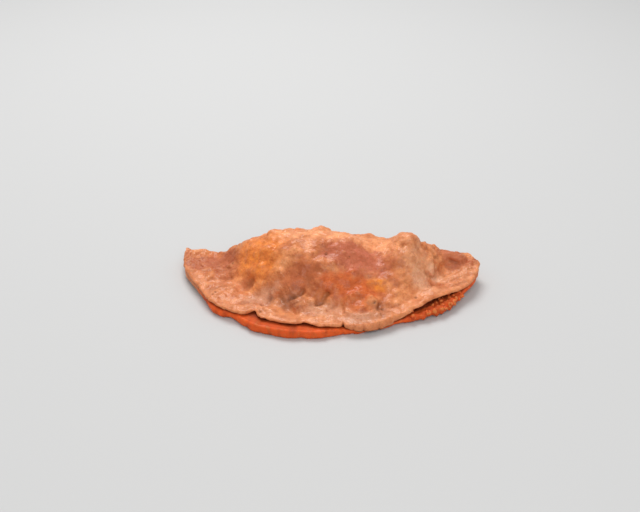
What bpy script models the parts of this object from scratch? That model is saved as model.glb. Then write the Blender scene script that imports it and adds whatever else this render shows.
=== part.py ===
"""A fried half-moon empanada: one disc of dough folded over its filling.

The fold runs along the back (+Y), the curved rim along the front (-Y), and the two tips point to
-X and +X. The solid is a loft of sections that fan out from the fold to the rim. Each section
runs over the crown and the flange, round the edge of the upper layer, into the slit between the
two layers, round the edge of the lower layer and back along the underside to the fold.
"""

import math

import bmesh
import bpy
import numpy as np

MM = 0.001

# The half-moon seen from above.
HALF_LENGTH = 70.3 * MM
RIM_DEPTH = 61.5 * MM
FOLD_BULGE = 2.2 * MM
FAN = 0.40  # how much closer together the sections are at the fold than at the rim

# The pastry seen from its end.
DOUGH = 2.5 * MM
FLANGE_WIDTH = 12.0 * MM
CROWN_FROM_FOLD = 24.0 * MM
BACK_ROUND = 1.3  # run over rise of the curve from the fold up to the crown
FOLD_HEIGHT = 9.0 * MM
UNDERSIDE_TURN = 13.0 * MM  # width over which the underside curls up to the lip
EDGE_ROUND = 1.1 * MM
SLIT_DEPTH = 3.0 * MM
LEAST_SLIT = 0.3 * MM
UPPER_OVERHANG = 0.6 * MM

# Along the length, by x: the height of the ridge, and how far the filling comes from the fold.
RIDGE = (
    (-70.0 * MM, 8.5 * MM),
    (-56.0 * MM, 5.5 * MM),
    (-45.0 * MM, 12.0 * MM),
    (-28.0 * MM, 21.5 * MM),
    (-10.0 * MM, 25.0 * MM),
    (6.0 * MM, 24.0 * MM),
    (23.0 * MM, 19.5 * MM),
    (37.0 * MM, 23.0 * MM),
    (49.0 * MM, 14.5 * MM),
    (58.0 * MM, 11.5 * MM),
    (70.0 * MM, 7.0 * MM),
)
FOOT = (
    (-56.0 * MM, 10.0 * MM),
    (-42.0 * MM, 30.0 * MM),
    (-22.0 * MM, 48.0 * MM),
    (4.0 * MM, 53.0 * MM),
    (26.0 * MM, 49.0 * MM),
    (44.0 * MM, 34.0 * MM),
    (56.0 * MM, 14.0 * MM),
)
WING_HEIGHT = RIDGE[0][1]
FULL_HEIGHT = max(height for _, height in RIDGE)

# Where the upper layer's edge leaves a plain half-ellipse, round the rim from the left tip: middle
# and half width in degrees, and how far it swells out or, if negative, draws in.
SWELL = (
    (30.0, 14.0, -0.6 * MM),
    (51.0, 13.0, 2.0 * MM),
    (68.0, 16.0, 1.0 * MM),
    (128.0, 24.0, -4.0 * MM),
    (146.0, 14.0, -1.5 * MM),
    (180.0, 9.0, -8.0 * MM),
)

# How high the underside lifts off the table, by degrees round the rim.
LIFT = (
    (0.0, 1.5 * MM),
    (50.0, 0.4 * MM),
    (115.0, 0.4 * MM),
    (150.0, 2.0 * MM),
    (180.0, 4.7 * MM),
)

# Stretches of the rim where the layers part: middle and half width in degrees, how far the lower
# layer sticks out past the upper one, and how far the two gape.
PARTED = (
    (48.0, 8.0, 1.5 * MM, 0.3 * MM),
    (70.0, 17.0, 5.5 * MM, 0.7 * MM),
    (87.0, 15.0, 4.0 * MM, 0.5 * MM),
    (136.0, 20.0, 4.0 * MM, 2.5 * MM),
)

# Nicks in the upper layer's edge: middle and half width in degrees, and depth.
NICKS = (
    (64.0, 4.0, 2.6 * MM),
    (84.0, 5.0, 1.6 * MM),
    (125.0, 4.0, 0.5 * MM),
)

# Where the upper layer is pressed down over the lower one: middle and half width in degrees, how
# far the slit drops, and how far the edge above it bulges.
PRESSED = (107.0, 12.0, 1.6 * MM, 1.4 * MM)

# Ripples round the rim: how many to the half circle, height, and shift in radians.
RIPPLES = (
    (9.0, 0.40 * MM, 1.0),
    (17.0, 0.30 * MM, 2.5),
    (29.0, 0.15 * MM, 0.7),
)

# Blisters and, with a negative height, hollows in the outside of the crust: x, distance from the
# fold, radius and height.
BLISTERS = (
    (-53.0 * MM, 26.0 * MM, 5.0 * MM, 0.5 * MM),
    (-46.0 * MM, 20.0 * MM, 5.0 * MM, 0.6 * MM),
    (-38.0 * MM, 11.0 * MM, 6.0 * MM, 0.9 * MM),
    (-29.0 * MM, 25.0 * MM, 7.0 * MM, 0.8 * MM),
    (-24.0 * MM, 15.0 * MM, 8.0 * MM, 1.0 * MM),
    (-18.0 * MM, 3.0 * MM, 8.0 * MM, 0.8 * MM),
    (-6.0 * MM, 13.0 * MM, 7.0 * MM, 1.4 * MM),
    (-2.0 * MM, 37.0 * MM, 8.0 * MM, 0.6 * MM),
    (8.0 * MM, 17.0 * MM, 6.0 * MM, 0.6 * MM),
    (15.0 * MM, 47.0 * MM, 9.5 * MM, 2.0 * MM),
    (18.0 * MM, 3.0 * MM, 9.0 * MM, 0.9 * MM),
    (35.0 * MM, 15.0 * MM, 8.0 * MM, 2.2 * MM),
    (44.0 * MM, 12.0 * MM, 5.0 * MM, 0.9 * MM),
    (46.0 * MM, 21.0 * MM, 5.0 * MM, 0.8 * MM),
    (58.0 * MM, 8.0 * MM, 6.0 * MM, 0.8 * MM),
    (62.0 * MM, 20.0 * MM, 6.0 * MM, 0.6 * MM),
    (-53.0 * MM, 4.0 * MM, 8.0 * MM, -1.6 * MM),
    (-36.0 * MM, 35.0 * MM, 5.5 * MM, -0.9 * MM),
    (-26.0 * MM, 46.0 * MM, 5.0 * MM, -1.0 * MM),
    (-15.0 * MM, 51.0 * MM, 6.0 * MM, -1.0 * MM),
    (-11.0 * MM, 43.0 * MM, 4.5 * MM, -0.7 * MM),
    (-1.0 * MM, 47.0 * MM, 5.5 * MM, -1.0 * MM),
    (27.0 * MM, 49.0 * MM, 5.5 * MM, -0.8 * MM),
    (40.0 * MM, 21.0 * MM, 5.0 * MM, -0.9 * MM),
    (49.0 * MM, 27.0 * MM, 5.0 * MM, -0.7 * MM),
)

# The crust's gentler unevenness.
WAVES = 18
SHORT_WAVE = 8.0 * MM
LONG_WAVE = 26.0 * MM
WAVE_HEIGHT = 0.45 * MM
WAVE_SEED = 5

SECTIONS = 96
TOP_STEPS = 26
UNDER_STEPS = 12
EDGE_STEPS = 4

CRUST_COLOUR = (0.72, 0.30, 0.10, 1.0)


def eased(share):
    """0 to 1, slow at both ends."""
    share = np.clip(share, 0.0, 1.0)
    return share * share * (3.0 - 2.0 * share)


def rounded(share):
    """A quarter circle's rise: 0 at the fold, 1 once the share reaches 1."""
    return np.sqrt(1.0 - (1.0 - np.clip(share, 0.0, 1.0)) ** 2)


def mound(offset):
    """1 at offset 0, falling smoothly to 0 at offsets of -1 and 1."""
    return np.clip(1.0 - offset**2, 0.0, None) ** 2


def dome(offset):
    """Like a mound, with a broader top and steeper sides."""
    return eased(1.4 * (1.0 - offset))


def through(stations, at):
    """Smooth curve through hand-set stations, level beyond both ends."""
    places, values = np.array(stations).T
    slopes = np.gradient(values, places)
    slopes[0] = slopes[-1] = 0.0
    at = np.clip(at, places[0], places[-1])
    after = np.clip(np.searchsorted(places, at), 1, len(places) - 1)
    before = after - 1
    gap = places[after] - places[before]
    share = (at - places[before]) / gap
    level = values[before] + (values[after] - values[before]) * eased(share)
    lean = slopes[before] * (1.0 - share) - slopes[after] * share
    return level + gap * share * (1.0 - share) * lean


def fold_line(x):
    """The y of the fold, which the filling pushes back in the middle."""
    return FOLD_BULGE * np.clip(1.0 - (x / HALF_LENGTH) ** 2, 0.0, None) ** 1.5


def parting(turn, column):
    """Reach (column 2) or gape (column 3) of the parted layers at angles round the rim."""
    degrees = np.degrees(turn)
    return sum(row[column] * mound((degrees - row[0]) / row[1]) for row in PARTED)


def rim_outlines(turn):
    """Outer edges of the upper and the lower layer as (x, distance from the fold), and the
    outward direction they share."""
    degrees = np.degrees(turn)
    outward = np.stack([-np.cos(turn) * RIM_DEPTH, np.sin(turn) * HALF_LENGTH])
    outward = outward / np.linalg.norm(outward, axis=0)
    ellipse = np.stack([-np.cos(turn) * HALF_LENGTH, np.sin(turn) * RIM_DEPTH])
    ripples = sum(height * np.sin(count * turn + shift) for count, height, shift in RIPPLES)
    bulge = PRESSED[3] * mound((degrees - PRESSED[0]) / PRESSED[1])
    swell = sum(height * mound((degrees - middle) / width) for middle, width, height in SWELL)
    swell = swell + bulge + ripples * np.sin(turn)
    nicks = sum(depth * mound((degrees - middle) / width) for middle, width, depth in NICKS)
    reach = parting(turn, 2) - UPPER_OVERHANG * np.sin(turn)
    upper = ellipse + outward * (swell - nicks)
    lower = ellipse + outward * (swell + reach - bulge)
    return upper, lower, outward


def middle_height(x, lift):
    """Height of the fold's outermost line: low on the thin wings, higher behind the filling."""
    filled = np.clip((through(RIDGE, x) - WING_HEIGHT) / (FULL_HEIGHT - WING_HEIGHT), 0.0, 1.0)
    return lift + DOUGH + (FOLD_HEIGHT - DOUGH - lift) * filled


def top_height(x, from_fold, to_edge, edge_top, lift):
    """Height of the outer surface: the flange, the crown on it, and the rounded fold."""
    flat = lift + 2.0 * DOUGH
    flange = flat + (edge_top - flat) * (1.0 - eased(to_edge / FLANGE_WIDTH))
    ridge = np.maximum(through(RIDGE, x), flange)
    crown_at = CROWN_FROM_FOLD * np.clip((ridge - flange) / FULL_HEIGHT, 0.2, 1.0)
    reach = np.maximum(through(FOOT, x), crown_at + 4.0 * MM)
    down = np.clip((from_fold - crown_at) / (reach - crown_at), 0.0, 1.0)
    outer = flange + (ridge - flange) * (1.0 - down**2.2) ** 1.6
    middle = middle_height(x, lift)
    turn = np.maximum(BACK_ROUND * (ridge - middle), DOUGH)
    return middle + (outer - middle) * rounded(from_fold / turn)


def under_height(x, from_fold, to_edge, lift):
    """Height of the underside: flat on the table, curling up to the lip and round the fold."""
    lip = lift * (1.0 - eased(to_edge / UNDERSIDE_TURN))
    middle = middle_height(x, lift)
    return lip + (middle - lip) * (1.0 - rounded(from_fold / np.maximum(middle, DOUGH)))


def edge_strip(turn, steps):
    """The strip round the rim, from the upper layer's top to the lower layer's underside: x,
    distance from the fold and height of its points."""
    upper, lower, outward = rim_outlines(turn)
    lift = through(LIFT, np.degrees(turn))
    pressed = PRESSED[2] * mound((np.degrees(turn) - PRESSED[0]) / PRESSED[1])
    low_top = lift + DOUGH - pressed
    high_under = low_top + np.maximum(parting(turn, 3), LEAST_SLIT)
    slit = np.minimum(0.0, np.sum((lower - upper) * outward, axis=0)) - SLIT_DEPTH
    points = []
    for step in range(steps + 1):
        angle = math.pi * step / steps
        inset = outward * EDGE_ROUND * (1.0 - math.sin(angle))
        thickness = DOUGH + pressed
        points.append((*(upper - inset), high_under + thickness * (1.0 + math.cos(angle)) / 2.0))
    for share in (0.0, 0.5, 1.0):
        end = slit - 0.3 * MM * math.sin(math.pi * share)
        points.append((*(upper + outward * end), high_under + (low_top - high_under) * share))
    for step in range(steps + 1):
        angle = math.pi * step / steps
        inset = outward * EDGE_ROUND * (1.0 - math.sin(angle))
        thickness = DOUGH - pressed
        points.append((*(lower - inset), lift + thickness * (1.0 + math.cos(angle)) / 2.0))
    return np.array(points).transpose(1, 2, 0)


def layer(fold_x, edge_x, edge_d, steps):
    """One layer between the fold and its edge: x, distance from the fold, and distance to the
    edge of its points, closer together near the fold."""
    share = np.linspace(0.0, 1.0, steps + 1)[:-1] ** 1.35
    x = fold_x + (edge_x - fold_x) * share
    from_fold = edge_d * share
    return x, from_fold, np.hypot(edge_x - x, edge_d - from_fold)


def relaxed(height):
    """Heights of a grid of sections, each averaged with its neighbours."""
    for _ in range(2):
        height[1:-1] = (height[:-2] + 2.0 * height[1:-1] + height[2:]) / 4.0
    return height


def outward_of(surface):
    """Outward directions at the points of a grid of sections."""
    normal = np.cross(np.gradient(surface, axis=1), np.gradient(surface, axis=0))
    return normal / np.maximum(np.linalg.norm(normal, axis=-1, keepdims=True), 1e-12)


def blistering(surface, x, from_fold):
    """How far each point of the outer surface is raised by the blisters and hollows."""
    rise = np.zeros(x.shape)
    for at_x, at_d, radius, height in BLISTERS:
        nearest = np.argmin((x - at_x) ** 2 + (from_fold - at_d) ** 2)
        centre = surface.reshape(-1, 3)[nearest]
        rise += height * dome(np.linalg.norm(surface - centre, axis=-1) / radius)
    return rise


def unevenness(surface):
    """Overlaid long waves in seeded directions."""
    seeded = np.random.default_rng(WAVE_SEED)
    rise = 0.0
    for _ in range(WAVES):
        direction = seeded.normal(size=3)
        direction = direction / np.linalg.norm(direction)
        length = seeded.uniform(SHORT_WAVE, LONG_WAVE)
        shift = seeded.uniform(0.0, 2.0 * math.pi)
        rise = rise + np.sin(2.0 * math.pi * (surface @ direction) / length + shift)
    return WAVE_HEIGHT * rise / math.sqrt(WAVES / 2.0)


def crust_grid(sections, top_steps, under_steps, edge_steps):
    """Points of the whole skin: one row for each section, from the fold round to the fold."""
    even = np.linspace(0.0, 1.0, sections + 1)
    turn = math.pi * (0.45 * even + 0.275 * (1.0 - np.cos(math.pi * even)))
    lift = through(LIFT, np.degrees(turn))[:, None]
    x, from_fold, z = edge_strip(turn, edge_steps)

    tips = x.mean(axis=1, keepdims=True)
    closing = rounded(from_fold.max(axis=1, keepdims=True) / (2.0 * DOUGH))
    x = tips + (x - tips) * closing
    from_fold = np.maximum(from_fold, 0.0) * closing
    middle = middle_height(tips, lift)
    z = middle + (z - middle) * closing
    edge = np.stack([x, fold_line(x) - from_fold, z], axis=-1)

    fold_x = tips * (1.0 - FAN * np.sin(turn))[:, None]
    top_x, top_d, to_edge = layer(fold_x, x[:, :1], from_fold[:, :1], top_steps)
    top_z = relaxed(top_height(top_x, top_d, to_edge, z[:, :1], lift))
    top = np.stack([top_x, fold_line(top_x) - top_d, top_z], axis=-1)
    rise = blistering(top, top_x, top_d) + unevenness(top)
    settled = eased(to_edge / (2.0 * DOUGH)) * closing
    top = top + outward_of(top) * (rise * settled)[..., None]

    low_x, low_d, to_edge = layer(fold_x, x[:, -1:], from_fold[:, -1:], under_steps)
    low_z = under_height(low_x, low_d, to_edge, lift)
    under = np.stack([low_x, fold_line(low_x) - low_d, low_z], axis=-1)
    under[:, 0] = top[:, 0]
    return np.concatenate([top, edge, under[:, ::-1]], axis=1)


def crust_mesh(grid):
    """The grid as a closed mesh: its ends collapse onto the fold and are welded there."""
    rows, columns = grid.shape[:2]
    shell = bmesh.new()
    points = [[shell.verts.new(point) for point in row] for row in grid]
    for row in range(rows - 1):
        for column in range(columns - 1):
            near = points[row][column : column + 2]
            far = points[row + 1][column : column + 2]
            shell.faces.new((near[0], near[1], far[1], far[0]))
    bmesh.ops.remove_doubles(shell, verts=shell.verts, dist=0.02 * MM)
    bmesh.ops.recalc_face_normals(shell, faces=shell.faces)
    mesh = bpy.data.meshes.new("empanada")
    shell.to_mesh(mesh)
    shell.free()
    return mesh


def crust_material():
    material = bpy.data.materials.new("fried_crust")
    material.use_nodes = True
    surface = material.node_tree.nodes["Principled BSDF"]
    surface.inputs["Base Color"].default_value = CRUST_COLOUR
    surface.inputs["Roughness"].default_value = 0.45
    surface.inputs["Metallic"].default_value = 0.0
    return material


def main():
    for item in list(bpy.data.objects):
        bpy.data.objects.remove(item)
    grid = crust_grid(SECTIONS, TOP_STEPS, UNDER_STEPS, EDGE_STEPS)
    low, high = grid.min(axis=(0, 1)), grid.max(axis=(0, 1))
    grid -= [(low[0] + high[0]) / 2.0, (low[1] + high[1]) / 2.0, low[2]]
    mesh = crust_mesh(grid)
    mesh.materials.append(crust_material())
    mesh.shade_smooth()
    empanada = bpy.data.objects.new("empanada", mesh)
    collection = bpy.data.collections.new("empanada")
    bpy.context.scene.collection.children.link(collection)
    collection.objects.link(empanada)


if __name__ == "__main__":
    main()
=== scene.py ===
import math

import bmesh
import bpy
import numpy as np
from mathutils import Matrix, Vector, kdtree, noise


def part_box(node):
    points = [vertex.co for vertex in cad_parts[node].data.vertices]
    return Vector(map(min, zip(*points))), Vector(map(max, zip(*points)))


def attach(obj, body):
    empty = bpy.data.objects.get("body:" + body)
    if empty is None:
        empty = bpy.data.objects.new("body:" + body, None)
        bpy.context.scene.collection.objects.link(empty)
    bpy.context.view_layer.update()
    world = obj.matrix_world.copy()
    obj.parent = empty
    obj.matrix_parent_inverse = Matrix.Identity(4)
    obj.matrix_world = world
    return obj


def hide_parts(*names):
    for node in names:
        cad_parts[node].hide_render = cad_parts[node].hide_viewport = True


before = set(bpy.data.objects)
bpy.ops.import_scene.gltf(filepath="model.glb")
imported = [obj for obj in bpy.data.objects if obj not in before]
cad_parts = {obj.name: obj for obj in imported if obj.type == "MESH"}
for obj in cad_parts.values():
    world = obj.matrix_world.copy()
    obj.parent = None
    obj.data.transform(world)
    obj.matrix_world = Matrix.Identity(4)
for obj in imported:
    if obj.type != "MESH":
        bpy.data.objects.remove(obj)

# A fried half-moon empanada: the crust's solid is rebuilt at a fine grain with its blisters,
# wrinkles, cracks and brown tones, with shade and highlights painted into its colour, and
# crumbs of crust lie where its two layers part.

MM = 0.001
NODE = "empanada"

# ---------------------------------------------------------------------------------------------
# The shape of the solid, from its own dimensions
# ---------------------------------------------------------------------------------------------

HALF_LENGTH = 70.3 * MM
RIM_DEPTH = 61.5 * MM
FOLD_BULGE = 2.2 * MM
FAN = 0.40  # how much closer together the sections are at the fold than at the rim

DOUGH = 2.5 * MM
FLANGE_WIDTH = 12.0 * MM
CROWN_FROM_FOLD = 24.0 * MM
BACK_ROUND = 1.3  # run over rise of the curve from the fold up to the crown
FOLD_HEIGHT = 9.0 * MM
UNDERSIDE_TURN = 13.0 * MM
EDGE_ROUND = 1.1 * MM
SLIT_DEPTH = 3.0 * MM
LEAST_SLIT = 0.3 * MM
UPPER_OVERHANG = 0.6 * MM

# By x: the height of the ridge, and how far the filling comes from the fold.
RIDGE = (
    (-70.0 * MM, 8.5 * MM),
    (-56.0 * MM, 5.5 * MM),
    (-45.0 * MM, 12.0 * MM),
    (-28.0 * MM, 21.5 * MM),
    (-10.0 * MM, 25.0 * MM),
    (6.0 * MM, 24.0 * MM),
    (23.0 * MM, 19.5 * MM),
    (37.0 * MM, 23.0 * MM),
    (49.0 * MM, 14.5 * MM),
    (58.0 * MM, 11.5 * MM),
    (70.0 * MM, 7.0 * MM),
)
FOOT = (
    (-56.0 * MM, 10.0 * MM),
    (-42.0 * MM, 30.0 * MM),
    (-22.0 * MM, 48.0 * MM),
    (4.0 * MM, 53.0 * MM),
    (26.0 * MM, 49.0 * MM),
    (44.0 * MM, 34.0 * MM),
    (56.0 * MM, 14.0 * MM),
)
WING_HEIGHT = RIDGE[0][1]
FULL_HEIGHT = max(height for _, height in RIDGE)

# Where the upper layer's edge leaves a plain half-ellipse, round the rim from the left tip: middle
# and half width in degrees, and how far it swells out or, if negative, draws in.
SWELL = (
    (30.0, 14.0, -0.6 * MM),
    (51.0, 13.0, 2.0 * MM),
    (68.0, 16.0, 1.0 * MM),
    (128.0, 24.0, -4.0 * MM),
    (146.0, 14.0, -1.5 * MM),
    (180.0, 9.0, -8.0 * MM),
)

# How high the underside lifts off the table, by degrees round the rim.
LIFT = (
    (0.0, 1.5 * MM),
    (50.0, 0.4 * MM),
    (115.0, 0.4 * MM),
    (150.0, 2.0 * MM),
    (180.0, 4.7 * MM),
)

# Where the layers part: middle and half width in degrees, reach of the lower layer, and gape.
PARTED = (
    (48.0, 8.0, 1.5 * MM, 0.3 * MM),
    (70.0, 17.0, 5.5 * MM, 0.7 * MM),
    (87.0, 15.0, 4.0 * MM, 0.5 * MM),
    (136.0, 20.0, 4.0 * MM, 2.5 * MM),
)
# Nicks in the upper layer's edge: middle and half width in degrees, and depth.
NICKS = (
    (64.0, 4.0, 2.6 * MM),
    (84.0, 5.0, 1.6 * MM),
    (125.0, 4.0, 0.5 * MM),
)
# Where the upper layer is pressed down over the lower one: middle and half width in degrees, how
# far the slit drops, and how far the edge above it bulges.
PRESSED = (107.0, 12.0, 1.6 * MM, 1.4 * MM)
# Ripples round the rim: how many to the half circle, height, and shift in radians.
RIPPLES = (
    (9.0, 0.40 * MM, 1.0),
    (17.0, 0.30 * MM, 2.5),
    (29.0, 0.15 * MM, 0.7),
)
# Blisters and, with a negative height, hollows: x, distance from the fold, radius and height.
BLISTERS = (
    (-53.0 * MM, 26.0 * MM, 5.0 * MM, 0.5 * MM),
    (-46.0 * MM, 20.0 * MM, 5.0 * MM, 0.6 * MM),
    (-38.0 * MM, 11.0 * MM, 6.0 * MM, 0.9 * MM),
    (-29.0 * MM, 25.0 * MM, 7.0 * MM, 0.8 * MM),
    (-24.0 * MM, 15.0 * MM, 8.0 * MM, 1.0 * MM),
    (-18.0 * MM, 3.0 * MM, 8.0 * MM, 0.8 * MM),
    (-6.0 * MM, 13.0 * MM, 7.0 * MM, 1.4 * MM),
    (-2.0 * MM, 37.0 * MM, 8.0 * MM, 0.6 * MM),
    (8.0 * MM, 17.0 * MM, 6.0 * MM, 0.6 * MM),
    (15.0 * MM, 47.0 * MM, 9.5 * MM, 2.0 * MM),
    (18.0 * MM, 3.0 * MM, 9.0 * MM, 0.9 * MM),
    (35.0 * MM, 15.0 * MM, 8.0 * MM, 2.2 * MM),
    (44.0 * MM, 12.0 * MM, 5.0 * MM, 0.9 * MM),
    (46.0 * MM, 21.0 * MM, 5.0 * MM, 0.8 * MM),
    (58.0 * MM, 8.0 * MM, 6.0 * MM, 0.8 * MM),
    (62.0 * MM, 20.0 * MM, 6.0 * MM, 0.6 * MM),
    (-53.0 * MM, 4.0 * MM, 8.0 * MM, -1.6 * MM),
    (-36.0 * MM, 35.0 * MM, 5.5 * MM, -0.9 * MM),
    (-26.0 * MM, 46.0 * MM, 5.0 * MM, -1.0 * MM),
    (-15.0 * MM, 51.0 * MM, 6.0 * MM, -1.0 * MM),
    (-11.0 * MM, 43.0 * MM, 4.5 * MM, -0.7 * MM),
    (-1.0 * MM, 47.0 * MM, 5.5 * MM, -1.0 * MM),
    (27.0 * MM, 49.0 * MM, 5.5 * MM, -0.8 * MM),
    (40.0 * MM, 21.0 * MM, 5.0 * MM, -0.9 * MM),
    (49.0 * MM, 27.0 * MM, 5.0 * MM, -0.7 * MM),
)
WAVES = 18
SHORT_WAVE = 8.0 * MM
LONG_WAVE = 26.0 * MM
WAVE_HEIGHT = 0.45 * MM
WAVE_SEED = 5

# By degrees: how much thinner the upper layer's edge is than the solid's, and the lower thicker.
THINNED = (
    (0.0, 0.3 * MM),
    (56.0, 1.0 * MM),
    (90.0, 1.0 * MM),
    (104.0, 0.0 * MM),
    (117.0, -0.8 * MM),
    (126.0, 0.5 * MM),
    (150.0, 0.8 * MM),
    (176.0, 0.3 * MM),
)

# The solid's own grid, which sets where the fold lies in its box, and the fine one.
SOLID_GRID = {"sections": 96, "top_steps": 26, "under_steps": 12, "edge_steps": 4}
FINE_GRID = {
    "sections": 400,
    "top_steps": 158,
    "under_steps": 34,
    "edge_steps": 12,
    "face_steps": 8,
    "crowding": 1.12,
    "thinned": True,
}


def eased(share):
    """0 to 1, slow at both ends."""
    share = np.clip(share, 0.0, 1.0)
    return share * share * (3.0 - 2.0 * share)


def rounded(share):
    """A quarter circle's rise: 0 at the fold, 1 once the share reaches 1."""
    return np.sqrt(1.0 - (1.0 - np.clip(share, 0.0, 1.0)) ** 2)


def mound(offset):
    """1 at offset 0, falling smoothly to 0 at offsets of -1 and 1."""
    return np.clip(1.0 - offset**2, 0.0, None) ** 2


def dome(offset):
    """Like a mound, with a broader top and steeper sides."""
    return eased(1.4 * (1.0 - offset))


def through(stations, at):
    """Smooth curve through given stations, level beyond both ends."""
    places, values = np.array(stations).T
    slopes = np.gradient(values, places)
    slopes[0] = slopes[-1] = 0.0
    at = np.clip(at, places[0], places[-1])
    after = np.clip(np.searchsorted(places, at), 1, len(places) - 1)
    before = after - 1
    gap = places[after] - places[before]
    share = (at - places[before]) / gap
    level = values[before] + (values[after] - values[before]) * eased(share)
    lean = slopes[before] * (1.0 - share) - slopes[after] * share
    return level + gap * share * (1.0 - share) * lean


def fold_line(x):
    """The y of the fold, which the filling pushes back in the middle."""
    return FOLD_BULGE * np.clip(1.0 - (x / HALF_LENGTH) ** 2, 0.0, None) ** 1.5


def parting(turn, column):
    """Reach (column 2) or gape (column 3) of the parted layers at angles round the rim."""
    degrees = np.degrees(turn)
    return sum(row[column] * mound((degrees - row[0]) / row[1]) for row in PARTED)


def rim_outlines(turn):
    """Outer edges of the upper and the lower layer as (x, distance from the fold), and the
    outward direction they share."""
    degrees = np.degrees(turn)
    outward = np.stack([-np.cos(turn) * RIM_DEPTH, np.sin(turn) * HALF_LENGTH])
    outward = outward / np.linalg.norm(outward, axis=0)
    ellipse = np.stack([-np.cos(turn) * HALF_LENGTH, np.sin(turn) * RIM_DEPTH])
    ripples = sum(height * np.sin(count * turn + shift) for count, height, shift in RIPPLES)
    bulge = PRESSED[3] * mound((degrees - PRESSED[0]) / PRESSED[1])
    swell = sum(height * mound((degrees - middle) / width) for middle, width, height in SWELL)
    swell = swell + bulge + ripples * np.sin(turn)
    nicks = sum(depth * mound((degrees - middle) / width) for middle, width, depth in NICKS)
    reach = parting(turn, 2) - UPPER_OVERHANG * np.sin(turn)
    upper = ellipse + outward * (swell - nicks)
    lower = ellipse + outward * (swell + reach - bulge)
    return upper, lower, outward


def middle_height(x, lift):
    """Height of the fold's outermost line: low on the thin wings, higher behind the filling."""
    filled = np.clip((through(RIDGE, x) - WING_HEIGHT) / (FULL_HEIGHT - WING_HEIGHT), 0.0, 1.0)
    return lift + DOUGH + (FOLD_HEIGHT - DOUGH - lift) * filled


def top_height(x, from_fold, to_edge, edge_top, lift):
    """Height of the outer surface: the flange, the crown on it, and the rounded fold."""
    flat = lift + 2.0 * DOUGH
    flange = flat + (edge_top - flat) * (1.0 - eased(to_edge / FLANGE_WIDTH))
    ridge = np.maximum(through(RIDGE, x), flange)
    crown_at = CROWN_FROM_FOLD * np.clip((ridge - flange) / FULL_HEIGHT, 0.2, 1.0)
    reach = np.maximum(through(FOOT, x), crown_at + 4.0 * MM)
    down = np.clip((from_fold - crown_at) / (reach - crown_at), 0.0, 1.0)
    outer = flange + (ridge - flange) * (1.0 - down**2.2) ** 1.6
    middle = middle_height(x, lift)
    turn = np.maximum(BACK_ROUND * (ridge - middle), DOUGH)
    return middle + (outer - middle) * rounded(from_fold / turn)


def under_height(x, from_fold, to_edge, lift):
    """Height of the underside: flat on the table, curling up to the lip and round the fold."""
    lip = lift * (1.0 - eased(to_edge / UNDERSIDE_TURN))
    middle = middle_height(x, lift)
    return lip + (middle - lip) * (1.0 - rounded(from_fold / np.maximum(middle, DOUGH)))


def edge_strip(turn, steps, face_steps, thinned):
    """The strip round the rim, from the upper layer's top to the lower layer's underside: x,
    distance from the fold and height of its points, and the zone of each column."""
    upper, lower, outward = rim_outlines(turn)
    lift = through(LIFT, np.degrees(turn))
    pressed = PRESSED[2] * mound((np.degrees(turn) - PRESSED[0]) / PRESSED[1])
    if thinned:
        pressed = pressed - through(THINNED, np.degrees(turn))
    low_top = lift + DOUGH - pressed
    high_under = low_top + np.maximum(parting(turn, 3), LEAST_SLIT)
    slit = np.minimum(0.0, np.sum((lower - upper) * outward, axis=0)) - SLIT_DEPTH
    points, zones = [], []
    for step in range(steps + 1):
        angle = math.pi * step / steps
        inset = outward * EDGE_ROUND * (1.0 - math.sin(angle))
        thickness = DOUGH + pressed
        points.append((*(upper - inset), high_under + thickness * (1.0 + math.cos(angle)) / 2.0))
        zones.append("upper_edge")
    for step in range(1, face_steps):
        back = -EDGE_ROUND + (slit + EDGE_ROUND) * step / face_steps
        points.append((*(upper + outward * back), high_under))
        zones.append("slit")
    for share in (0.0, 0.5, 1.0):
        end = slit - 0.3 * MM * math.sin(math.pi * share)
        points.append((*(upper + outward * end), high_under + (low_top - high_under) * share))
        zones.append("slit")
    for step in range(1, face_steps):
        start = upper + outward * slit
        finish = lower - outward * EDGE_ROUND
        points.append((*(start + (finish - start) * step / face_steps), low_top))
        zones.append("lower_face")
    for step in range(steps + 1):
        angle = math.pi * step / steps
        inset = outward * EDGE_ROUND * (1.0 - math.sin(angle))
        thickness = DOUGH - pressed
        points.append((*(lower - inset), lift + thickness * (1.0 + math.cos(angle)) / 2.0))
        zones.append("lower_edge")
    return np.array(points).transpose(1, 2, 0), zones


def layer(fold_x, edge_x, edge_d, steps, crowding):
    """One layer between the fold and its edge: x, distance from the fold, and distance to the
    edge of its points, closer together near the fold."""
    share = np.linspace(0.0, 1.0, steps + 1)[:-1] ** crowding
    x = fold_x + (edge_x - fold_x) * share
    from_fold = edge_d * share
    return x, from_fold, np.hypot(edge_x - x, edge_d - from_fold)


def relaxed(height):
    """Heights of a grid of sections, each averaged with its neighbours."""
    for _ in range(2):
        height[1:-1] = (height[:-2] + 2.0 * height[1:-1] + height[2:]) / 4.0
    return height


def outward_of(surface):
    """Outward directions at the points of a grid of sections."""
    normal = np.cross(np.gradient(surface, axis=1), np.gradient(surface, axis=0))
    return normal / np.maximum(np.linalg.norm(normal, axis=-1, keepdims=True), 1e-12)


def place_of(surface, x, from_fold, at_x, at_d):
    """The surface's own point nearest to a place given by x and distance from the fold."""
    nearest = np.argmin((x - at_x) ** 2 + (from_fold - at_d) ** 2)
    return surface.reshape(-1, 3)[nearest]


def blistering(surface, x, from_fold):
    """How far each point of the outer surface is raised by the blisters and hollows."""
    rise = np.zeros(x.shape)
    for at_x, at_d, radius, height in BLISTERS:
        centre = place_of(surface, x, from_fold, at_x, at_d)
        rise += height * dome(np.linalg.norm(surface - centre, axis=-1) / radius)
    return rise


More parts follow.
